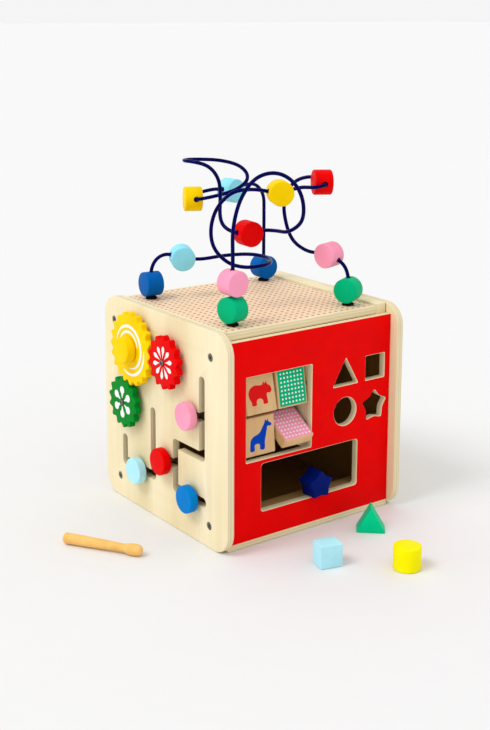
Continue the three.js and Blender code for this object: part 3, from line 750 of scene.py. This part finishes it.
# %% [markdown]
# ## The lid
#
# The lid lies on the rails and has a finger notch in two edges. Its top is printed with rows of
# small brown dots on a tan field, inside a plain border. Hundreds of thin discs would draw the dots
# too, but that is a lot of mesh for ink. Instead they are worked out by arithmetic on the surface's
# own coordinates: the distance to the nearest point of a square grid.

# %% Lid
DOT_PITCH = 8.65 * MM
DOT_RADIUS = 1.75 * MM
DOT_FADE = 0.2
BORDER = 3 * MM
FIELD_TONE, FIELD_COVER = (0.93, 0.64, 0.44), 0.7
DOT_TONE, DOT_COVER = (0.26, 0.085, 0.03), 0.92
GRID_SHIFT = 100  # whole squares, so that the sum below stays positive and the dots stay put
NOTCH_RADIUS, NOTCH_REACH, NOTCH_STEPS = 18 * MM, 4 * MM, 16
FOOT_HOLE = 3 * MM
LID_EDGE = 0.6 * MM
lid_low, lid_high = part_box("lid_board")
lid_centre = (lid_low + lid_high) / 2
lid_size = lid_high - lid_low


def printed_lid():
    made = birch("lid_print", X_AXIS, board_of("lid_board", Z_AXIS, 5))
    tree = made.node_tree
    surface = tree.nodes["Principled BSDF"]
    plain = surface.inputs["Base Color"].links[0].from_socket
    place, facing = place_and_facing(tree)
    squares = []
    for axis in (X_AXIS, Y_AXIS):
        step = calc(tree, "ADD", calc(tree, "DIVIDE", place[axis], DOT_PITCH), GRID_SHIFT)
        near = calc(tree, "SUBTRACT", calc(tree, "FRACT", step), 0.5)
        squares.append(calc(tree, "MULTIPLY", near, near))
    nearest = calc(tree, "MULTIPLY", calc(tree, "SQRT", calc(tree, "ADD", *squares)), DOT_PITCH)
    soft = spread(tree, nearest, 1, 0, DOT_RADIUS * (1 - DOT_FADE), DOT_RADIUS * (1 + DOT_FADE))
    inside = calc(tree, "GREATER_THAN", facing[Z_AXIS], FLAT_FACING)
    for axis in (X_AXIS, Y_AXIS):
        offset = calc(tree, "ABSOLUTE", calc(tree, "SUBTRACT", place[axis], lid_centre[axis]))
        within = calc(tree, "LESS_THAN", offset, lid_size[axis] / 2 - BORDER)
        inside = calc(tree, "MULTIPLY", inside, within)
    field = mixed(tree, calc(tree, "MULTIPLY", inside, FIELD_COVER), plain, FIELD_TONE)
    cover = calc(tree, "MULTIPLY", calc(tree, "MULTIPLY", inside, soft), DOT_COVER)
    tree.links.new(mixed(tree, cover, field, DOT_TONE), surface.inputs["Base Color"])
    return made


def notch_arc(edge_x, inward):
    """Points of a shallow round notch, from one end to the other along the edge."""
    centre = edge_x - inward * (NOTCH_RADIUS - NOTCH_REACH)
    half = math.acos((NOTCH_RADIUS - NOTCH_REACH) / NOTCH_RADIUS)
    return [(centre + inward * NOTCH_RADIUS * math.cos(a), NOTCH_RADIUS * math.sin(a))
            for a in (half * (2 * i / NOTCH_STEPS - 1) for i in range(NOTCH_STEPS + 1))]


foot_places = {name: middle("foot_cap_" + name) for name in ("front", "back", "left", "right")}
right_notch = notch_arc(lid_high.x, -1)
left_notch = notch_arc(lid_low.x, 1)
lid_outline = [(lid_low.x, lid_low.y), (lid_high.x, lid_low.y), *right_notch, (lid_high.x, lid_high.y),
               (lid_low.x, lid_high.y), *reversed(left_notch)]
lid_holes = [circle(FOOT_HOLE, place.x, place.y, 20) for place in foot_places.values()]
lid_frame = basis((1, 0, 0), (0, 1, 0), (0, 0, 1), (0, 0, 0))
lid_mesh = plate([lid_outline, *lid_holes], lid_low.z, lid_high.z, LID_EDGE, lid_frame)
piece("printed_lid", lid_mesh, printed_lid(), "lid", "birch_ply", "lid_board")
print("lid", [round(v, 4) for v in lid_size])

# %% [markdown]
# ## The bead maze
#
# Two coated wires rise from four rubber cups. A wire could be drawn from scratch through chosen
# points, but it would not lie exactly where the CAD wire does, and the beads would miss it. The CAD
# wire is an eight-sided tube, so its middle line can be read back ring by ring: start with the points
# of one end, and each next ring is the points that touch the last one. A smooth tube then follows
# the same line.

# %% Wires
WIRE_RADIUS = 2.2 * MM
RING_REACH = 6 * MM


def ring_centres(node):
    """The middle line of a tube whose two ends stand at the same height."""
    shape = bmesh.new()
    shape.from_mesh(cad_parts[node].data)
    bmesh.ops.remove_doubles(shape, verts=shape.verts, dist=2 * HAIR)
    lowest = min(v.co.z for v in shape.verts)
    ends = [v for v in shape.verts if v.co.z < lowest + 10 * HAIR]
    start = min(ends, key=lambda v: v.co.x)
    ring = {v for v in ends if (v.co - start.co).length < RING_REACH}
    seen, centres = set(ring), []
    while ring:
        centres.append(sum((v.co for v in ring), Vector()) / len(ring))
        ring = {e.other_vert(v) for v in ring for e in v.link_edges} - seen
        seen |= ring
    shape.free()
    return centres


wires = {}
for node, name in (("wire_front_to_back", "wire_a"), ("wire_left_to_right", "wire_b")):
    wires[node] = ring_centres(node)
    mesh = tube(wires[node], WIRE_RADIUS, 5)
    piece(name, mesh, WIRE_COAT, "lid", "wire_coating", node)
    print(name, "rings", len(wires[node]), "faces", len(mesh.polygons))

CUP_PROFILE = [(2.6, 0.3), (6.9, 0.3), (7.0, 0.8), (6.6, 2.2), (5.6, 2.95), (3.0, 3.0), (2.6, 2.6),
               (2.6, 0.3)]
for name, place in foot_places.items():
    cup = turned(metres(CUP_PROFILE), Matrix.Translation((place.x, place.y, lid_high.z)), 40)
    piece("cup_" + name, cup, RUBBER, "lid", "black_rubber", "foot_cap_" + name)

# %% [markdown]
# Each bead is a short turned cylinder, drilled through its side, so that its flat painted ends look
# sideways. A straight bore would do where the wire is straight, but most beads sit on a bend. So the
# bore is a piece of tube that follows the wire through the bead, and is wider than the wire.

# %% Beads
BEAD_RADIUS, BEAD_LENGTH, BEAD_BORE, BEAD_EDGE = 14.7 * MM, 21 * MM, 3.4 * MM, 1.3 * MM
BORE_REACH = 22 * MM
BEADS = {
    "wire_front_to_back": [
        ("bead_green_front", MINT, "mint_green_paint"), ("bead_pink_front", PINK, "pink_paint"),
        ("bead_red_middle", RED, "red_paint"), ("bead_yellow_left", YELLOW, "yellow_paint"),
        ("bead_blue_top", SKY_BLUE, "pale_blue_paint"), ("bead_navy_back", DEEP_BLUE, "deep_blue_paint")],
    "wire_left_to_right": [
        ("bead_blue_left", DEEP_BLUE, "deep_blue_paint"), ("bead_pale_left", SKY_BLUE, "pale_blue_paint"),
        ("bead_yellow_top", YELLOW, "yellow_paint"), ("bead_red_right", RED, "red_paint"),
        ("bead_pink_right", PINK, "pink_paint"), ("bead_green_right", MINT, "mint_green_paint")],
}


def bore_along(line, place):
    """A tube along the stretch of wire that runs through a bead at this place."""
    first = last = min(range(len(line)), key=lambda i: (line[i] - place).length)
    while first > 0 and (line[first] - place).length < BORE_REACH:
        first -= 1
    while last < len(line) - 1 and (line[last] - place).length < BORE_REACH:
        last += 1
    return tube(line[first:last + 1], BEAD_BORE)


bead_profile = eased(BEAD_RADIUS, -BEAD_LENGTH / 2, BEAD_LENGTH / 2, BEAD_EDGE)
for wire, beads in BEADS.items():
    for node, material, slot in beads:
        place = middle(node)
        bead = turned(bead_profile, across(flat_direction(node), place))
        bead = carved(bead, bore_along(wires[wire], place))
        piece(node.replace("bead", "maze_bead"), bead, material, node + "_body", slot, node)
    print(wire, "beads", len(beads))

# %% [markdown]
# ## The gears
#
# Three wavy-toothed gears mesh on the left panel. Straight-sided teeth are easier to draw, but these
# are sawn round and smooth. Their outlines use the CAD model's own rule: a cosine wave round the
# pitch line that sinks deeper than it rises, and a phase that puts a gap where the neighbour has a
# tooth.

# %% Gears
GEAR_THICKNESS, GEAR_STANDOFF, GEAR_EDGE = 8 * MM, 4.5 * MM, 0.9 * MM
BIG_TEETH, SMALL_TEETH = 20, 14
TOOTH_RISE, TOOTH_SINK, WAVE_SPLIT = 1.9 * MM, 2.9 * MM, 0.25
AXLE_HOLE = 2.5 * MM
BOSS_PROFILE = [(2.6, 0.3), (8, 0.3), (8, 4.4), (2.6, 4.4), (2.6, 0.3)]
gear_front = GEAR_STANDOFF + GEAR_THICKNESS


def on_left(node):
    """Where a node's middle lies on the left panel, seen from outside."""
    place = middle(node)
    return -place.y, place.z


def gear_outline(teeth, pitch, phase, steps=14):
    points = []
    for i in range(teeth * steps):
        angle = math.tau * i / (teeth * steps) + phase
        wave = math.cos(teeth * (angle - phase))
        sink = TOOTH_SINK * (wave - WAVE_SPLIT) / (1 + WAVE_SPLIT)
        rise = TOOTH_RISE * wave if wave > WAVE_SPLIT else sink
        points.append(((pitch + rise) * math.cos(angle), (pitch + rise) * math.sin(angle)))
    return points


big_at = on_left("yellow_gear_axle")
red_at = on_left("red_gear_screw")
green_at = on_left("green_gear_screw")
gear_distance = math.dist(big_at, red_at)
big_pitch = gear_distance * BIG_TEETH / (BIG_TEETH + SMALL_TEETH)
small_pitch = gear_distance - big_pitch


def mesh_phase(other):
    """How far a small gear at this place is turned, so that it meshes with the big one."""
    direction = math.atan2(other[1] - big_at[1], other[0] - big_at[0])
    return direction + math.pi - (math.pi - BIG_TEETH * direction) / SMALL_TEETH


def gear(name, node, body, at, teeth, pitch, phase, material, slot):
    place = left_face @ Matrix.Translation((*at, 0))
    outline = gear_outline(teeth, pitch, phase)
    mesh = plate([outline, circle(AXLE_HOLE, steps=24)], GEAR_STANDOFF, gear_front, GEAR_EDGE, place)
    piece(name, mesh, material, body, slot, node)
    piece(name + "_boss", turned(metres(BOSS_PROFILE), place, 40), material, body, slot)
    return place


yellow_place = gear("sun_gear", "yellow_gear", "yellow_gear_body", big_at, BIG_TEETH, big_pitch, 0, YELLOW,
                    "yellow_paint")
red_place = gear("flower_gear", "red_gear", "red_gear_body", red_at, SMALL_TEETH, small_pitch,
                 mesh_phase(red_at), RED, "red_paint")
green_place = gear("clover_gear", "green_gear", "green_gear_body", green_at, SMALL_TEETH, small_pitch,
                   mesh_phase(green_at), GEAR_GREEN, "green_paint")
print("pitch radii", round(big_pitch, 4), round(small_pitch, 4))

# %% [markdown]
# The gears' white patterns are printed: three brush strokes on the yellow one, petals on the others.
# Arithmetic in the material could draw them, but every stroke needs its own outline anyway. So each
# pattern is a skin of ink, about a tenth of a millimetre thick, on the gear's face.

# %% Printed patterns on the gears
INK = 0.12 * MM


def printed(name, outlines, place, height, material, body, slot):
    """A skin of ink from outlines given in millimetres."""
    mesh = plate([metres(outline) for outline in outlines], 0, INK, 0,
                 place @ Matrix.Translation((0, 0, height)), 0)
    return piece(name, mesh, material, body, slot)


def crescent(radius_from, radius_to, start, end, width, steps=48):
    """A brush stroke that follows an arc, widest in its middle. Angles in degrees."""
    outer, inner = [], []
    for i in range(steps + 1):
        t = i / steps
        angle = math.radians(start + (end - start) * t)
        radius = radius_from + (radius_to - radius_from) * t
        half = width / 2 * math.sin(math.pi * t) ** 0.5 + 0.05
        outer.append(((radius + half) * math.cos(angle), (radius + half) * math.sin(angle)))
        inner.append(((radius - half) * math.cos(angle), (radius - half) * math.sin(angle)))
    return outer + inner[::-1]


def petal(angle, start, end, width, sharp, steps=20):
    """A drop, narrow near the centre and round outside."""
    one, other = [], []
    for i in range(steps + 1):
        t = i / steps
        half = width / 2 * math.sin(math.pi * t ** sharp) ** 0.9 + 0.12
        if i == steps:
            half = 0.02
        along = start + (end - start) * t
        for side, points in ((1, one), (-1, other)):
            points.append((along * math.cos(angle) - side * half * math.sin(angle),
                           along * math.sin(angle) + side * half * math.cos(angle)))
    return one + other[::-1]


def club(angle, stem_from, centre, radius, sweep=300, steps=24):
    """A round petal on a tapered stem."""
    points = [(stem_from, -0.5)]
    for i in range(steps + 1):
        turn = math.radians(sweep * (i / steps - 0.5))
        points.append((centre + radius * math.cos(turn), radius * math.sin(turn)))
    points.append((stem_from, 0.5))
    return [(x * math.cos(angle) - y * math.sin(angle), x * math.sin(angle) + y * math.cos(angle))
            for x, y in points]


printed("sun_rays", [crescent(29, 23, 168, -92, 4.0), crescent(22, 18.5, 158, 15, 3.4),
                     crescent(32, 30, 8, -118, 3.4)], yellow_place, gear_front, WHITE_INK,
        "yellow_gear_body", "yellow_paint")
printed("flower_petals", [petal(math.tau * (i + 0.35) / 10, 5.2, 19.6, 5.0, 2.1) for i in range(10)],
        red_place, gear_front, WHITE_INK, "red_gear_body", "red_paint")
printed("clover_petals", [club(math.tau * (i + 0.5) / 6, 5.0, 14.7, 4.6) for i in range(6)],
        green_place, gear_front, WHITE_INK, "green_gear_body", "green_paint")
print("ink thickness", INK)

# %% [markdown]
# Each gear turns on its own screw: a domed head with a cross cut into it, and a plain shank. The
# yellow gear's screw is hidden in its large knob, which has a bore for the head. The bore is part of
# the knob's profile, because a lathe cuts both.

# %% Axle screws and the turning knob
AXLE_PROFILE = [(0, -19), (2, -19), (2, 0), (3.3, 0), (3.3, 0.9), (3.0, 1.6), (2.1, 2.1), (0, 2.2)]
AXLE_HEAD = 2.2 * MM
AXLE_CROSS = (1.0 * MM, 4.2 * MM, 1.4 * MM)
KNOB_GAP, KNOB_BORE, KNOB_BORE_DEPTH, KNOB_EDGE = 0.3 * MM, 4.3 * MM, 4 * MM, 2 * MM


def axle_screw(name, node, at):
    place = left_face @ Matrix.Translation((*at, gear_front + KNOB_GAP))
    recess = cross_tool(*AXLE_CROSS, place @ Matrix.Translation((0, 0, AXLE_HEAD)))
    screw = carved(turned(metres(AXLE_PROFILE), place, 40), *recess)
    return piece(name, screw, STEEL, "casing", "steel", node)


axle_screw("flower_screw", "red_gear_screw", red_at)
axle_screw("clover_screw", "green_gear_screw", green_at)
axle_screw("sun_axle", "yellow_gear_axle", big_at)
knob_size = size("yellow_gear_knob")
knob_back = gear_front + KNOB_GAP
knob_outside = eased(knob_size.z / 2, knob_back, knob_back + knob_size.x, KNOB_EDGE, 6)[1:]
knob_profile = [(0, knob_back + KNOB_BORE_DEPTH), (KNOB_BORE, knob_back + KNOB_BORE_DEPTH),
                (KNOB_BORE, knob_back), *knob_outside]
piece("sun_knob", turned(knob_profile, yellow_place, 72), YELLOW, "yellow_gear_body", "yellow_paint",
      "yellow_gear_knob")
print("knob radius", round(knob_size.z / 2, 4))

# %% [markdown]
# ## The slot sliders
#
# Each slider is a painted knob outside and a dark brown disc inside, joined by a peg through the slot.
# Their dark brown is partly the wood's own tone and partly a painted shade for the shadow in the slot.
# A real one is glued from two turned parts, so it is made of two turned pieces here as well: the
# knob, and the disc with its peg.

# %% Sliders
SLIDER_RADIUS, SLIDER_BACK, SLIDER_FRONT, SLIDER_EDGE = 15.8 * MM, 3.5 * MM, 14 * MM, 1.6 * MM
STEM_PROFILE = [(0, -13.5), (9.2, -13.5), (9.5, -13.2), (9.5, -10.3), (9.2, -10), (4.2, -10), (4.2, 3.4),
                (0, 3.4)]
SLIDERS = [("pink", PINK, "pink_paint"), ("red", RED, "red_paint"), ("pale", PALE_BLUE, "pale_blue_paint"),
           ("blue", BLUE, "blue_paint")]
for name, material, slot in SLIDERS:
    place = left_face @ Matrix.Translation((*on_left("slider_knob_" + name), 0))
    cap = turned(eased(SLIDER_RADIUS, SLIDER_BACK, SLIDER_FRONT, SLIDER_EDGE, 6), place, 72)
    piece("knob_" + name, cap, material, "slider_" + name, slot, "slider_knob_" + name)
    # The stem's dark brown is partly a painted shade of the slot under the knob.
    stem = turned(metres(STEM_PROFILE), place, 40)
    piece("stem_" + name, stem, STEM_WOOD_AND_SHADE, "slider_" + name, "dark_stained_wood", "slider_peg_" + name)
print("sliders", len(SLIDERS))

# %% [markdown]
# ## The turning tiles
#
# Four blocks of wood turn on two rods. Two show a printed animal and two a field of white dots. The
# animals are plain silhouettes, each a smooth line through a few points. Each tile's lean could be
# typed in, but it is read from the CAD solid: its largest flat face tells which way it looks.

# %% Tile shapes
HIPPO = [(-15, -4), (-15.8, 2), (-12.5, 7.5), (-6, 9.8), (1, 9), (4.5, 9.6), (5.6, 12.6), (7.6, 10.2),
         (9.8, 12.4), (10.8, 9.2), (14.6, 6.4), (16, 1.6), (13.4, -1), (10, -0.6), (8.6, -3), (9.2, -8.5),
         (8.6, -12), (3.4, -12), (2.8, -8), (0, -5.6), (-4, -5.8), (-6, -8), (-6.6, -12), (-12.2, -12),
         (-12.8, -8)]
GIRAFFE = [(-13.8, -8), (-14, -15.6), (-8.4, -15.6), (-8, -9.6), (-5, -8.4), (-2, -8.8), (-0.6, -10.6),
           (-0.2, -15.6), (5.6, -15.6), (6.4, -7), (8.2, -0.8), (9.8, 6), (11, 9.4), (15.4, 9), (16.4, 11.6),
           (12.4, 14.4), (11.8, 17.2), (10, 15.2), (8.2, 17.2), (7, 13.8), (4.2, 9.6), (0.4, 4.2), (-3.4, 2),
           (-8.6, 0.6), (-12.6, -2.8)]


def dot_field(columns, rows, width, height, radius):
    """Rows of dots that fill a field from edge to edge."""
    return [circle(radius, (c / (columns - 1) - 0.5) * width, (r / (rows - 1) - 0.5) * height, 14)
            for c in range(columns) for r in range(rows)]

# %% Tiles
TILE_WIDTH, TILE_HEIGHT, TILE_THICKNESS = 41.5 * MM, 44 * MM, 13 * MM
TILE_CORNER, TILE_EDGE = 1.6 * MM, 1.3 * MM
TILES = {
    "tile_hippo": [([smooth_loop(HIPPO)], RED_INK, "red_paint")],
    "tile_giraffe": [([smooth_loop(GIRAFFE)], BLUE_INK, "blue_paint")],
    "tile_green_dots": [([rounded_box(37.5, 40, 1.5)], MINT, "green_paint"),
                        (dot_field(7, 8, 29, 33, 1.15), WHITE_INK, "pink_paint")],
    "tile_pink_dots": [([rounded_box(39.5, 42, 1.2)], PINK, "pink_paint"),
                       (dot_field(8, 8, 33, 35, 1.2), WHITE_INK, "pink_paint")],
}
tile_front = TILE_THICKNESS / 2
for node, prints in TILES.items():
    looks = flat_direction(node)
    if looks.y > 0:
        looks = -looks
    sideways = Vector((1, 0, 0))
    place = basis(sideways, looks.cross(sideways), looks, middle(node))
    outline = rounded_box(TILE_WIDTH, TILE_HEIGHT, TILE_CORNER)
    tile = plate([outline], -tile_front, tile_front, TILE_EDGE, place, 4)
    piece(node + "_block", tile, TILE_WOOD, node + "_body", "birch_ply", node)
    for layer, (outlines, ink, slot) in enumerate(prints):
        printed(node + "_print_" + str(layer + 1), outlines, place, tile_front + layer * INK, ink,
                node + "_body", slot)
    print(node, "looks", [round(v, 2) for v in looks])

# %% [markdown]
# ## The loose pieces
#
# Four blocks fit the four holes. Three stand on the floor and the star rests in the window. They are
# sawn, so their CAD solids with eased edges serve, all but the round one, which is turned.

# %% Blocks
BLOCK_EDGE, ROUND_EDGE = 0.8 * MM, 1 * MM
BLOCKS = [("block_square", PALE_BLUE, "pale_blue_paint"),
          ("block_triangle", BRIGHT_MINT, "mint_green_paint"),
          ("block_star", STAR_BLUE, "deep_blue_paint")]
for node, material, slot in BLOCKS:
    mesh = softened(node, BLOCK_EDGE, 3, 50)
    piece(node.replace("block", "sorting"), mesh, material, node + "_body", slot, node)
round_size, round_at = size("block_round"), middle("block_round")
round_mesh = turned(eased(round_size.x / 2, 0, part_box("block_round")[1].z, ROUND_EDGE),
                    Matrix.Translation((round_at.x, round_at.y, 0)), 72)
piece("sorting_round", round_mesh, LEMON, "block_round_body", "yellow_paint", "block_round")
print("round block", round(round_size.x, 4), "across")

# %% [markdown]
# The beater is turned from hardwood, with a waist below its rounded head. It lies at an angle, which
# could be measured by eye. Its CAD points tell it exactly: the direction in which they are spread the
# most is the beater's length. The profile is a smooth line through a few widths, and is drawn a
# little thin, because a smooth line swells between its points.

# %% Beater
BEATER_FIT = 0.99
BEATER_PROFILE = [(0, 0), (0.70, 0.0), (0.92, 0.018), (0.95, 0.05), (0.90, 0.3), (0.80, 0.55), (0.73, 0.72),
                  (0.76, 0.78), (0.95, 0.845), (0.995, 0.88), (0.99, 0.93), (0.82, 0.975), (0.45, 0.998),
                  (0, 1)]


def smooth_profile(points, steps=6):
    """An open Catmull-Rom line through a turned piece's profile."""
    made = []
    padded = [points[0], *points, points[-1]]
    for i in range(1, len(padded) - 2):
        a, b, c, d = (Vector(padded[i + k]) for k in (-1, 0, 1, 2))
        for k in range(steps):
            x, y = between(a, b, c, d, k / steps)
            made.append((max(0, x), y))
    return [*made, points[-1]]


cloud = np.array([v.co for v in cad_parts["beater"].data.vertices])
centre = cloud.mean(0)
lying = np.linalg.svd(cloud - centre)[2][0]
lying = lying * (1 if lying[0] > 0 else -1)
reach = (cloud - centre) @ lying
tail = Vector(centre + lying * reach.min())
beater_length = float(reach.max() - reach.min())
beater_radius = size("beater").z / 2 * BEATER_FIT
beater_profile = [(r * beater_radius, h * beater_length) for r, h in smooth_profile(BEATER_PROFILE)]
beater_mesh = turned(beater_profile, across(lying, tail), 48)
piece("turned_beater", beater_mesh, BEATER_WOOD, "beater_body", "turned_hardwood", "beater")
print("beater", round(beater_length, 4), "long")

# %% [markdown]
# ## Floor and light
#
# The toy stands on a plain pale floor that runs on into a pale surround. Several lamps could light
# it, but each would add its own shadow. Most of the light is a soft even surround instead, as in a
# white studio, and one broad lamp from the left gives each piece a lighter side and a faint soft
# shadow.

# %% Floor
FLOOR_TONE = (0.80, 0.80, 0.80)
FLOOR_REACH = 40
FLOOR_GAP = 0.3 * MM
floor_shape = bmesh.new()
bmesh.ops.create_grid(floor_shape, x_segments=8, y_segments=8, size=FLOOR_REACH)
floor_mesh = bpy.data.meshes.new("studio_floor")
floor_shape.to_mesh(floor_mesh)
floor_shape.free()
floor = bpy.data.objects.new("studio_floor", floor_mesh)
bpy.context.collection.objects.link(floor)
floor.location.z = -FLOOR_GAP
floor_mesh.materials.append(paint("floor_paper", FLOOR_TONE, 0.8, 0.9, 0.004, (3, 3, 3)))

# %% Light
SURROUND_TONE = (0.915, 0.915, 0.915, 1)
LAMP_STRENGTH = 1.1
LAMP_BREADTH = math.radians(24)
LAMP_DIRECTION = Vector((0.62, -0.05, -0.78))
world = bpy.data.worlds.new("studio")
world.use_nodes = True
surround = world.node_tree.nodes["Background"]
surround.inputs["Color"].default_value = SURROUND_TONE
surround.inputs["Strength"].default_value = 1.0
bpy.context.scene.world = world
lamp = bpy.data.objects.new("key_lamp", bpy.data.lights.new("key_lamp", "SUN"))
lamp.data.energy = LAMP_STRENGTH
lamp.data.angle = LAMP_BREADTH
lamp.rotation_euler = LAMP_DIRECTION.to_track_quat("-Z", "Y").to_euler()
bpy.context.collection.objects.link(lamp)
print("lamp at", LAMP_STRENGTH, "surround at", SURROUND_TONE[0])
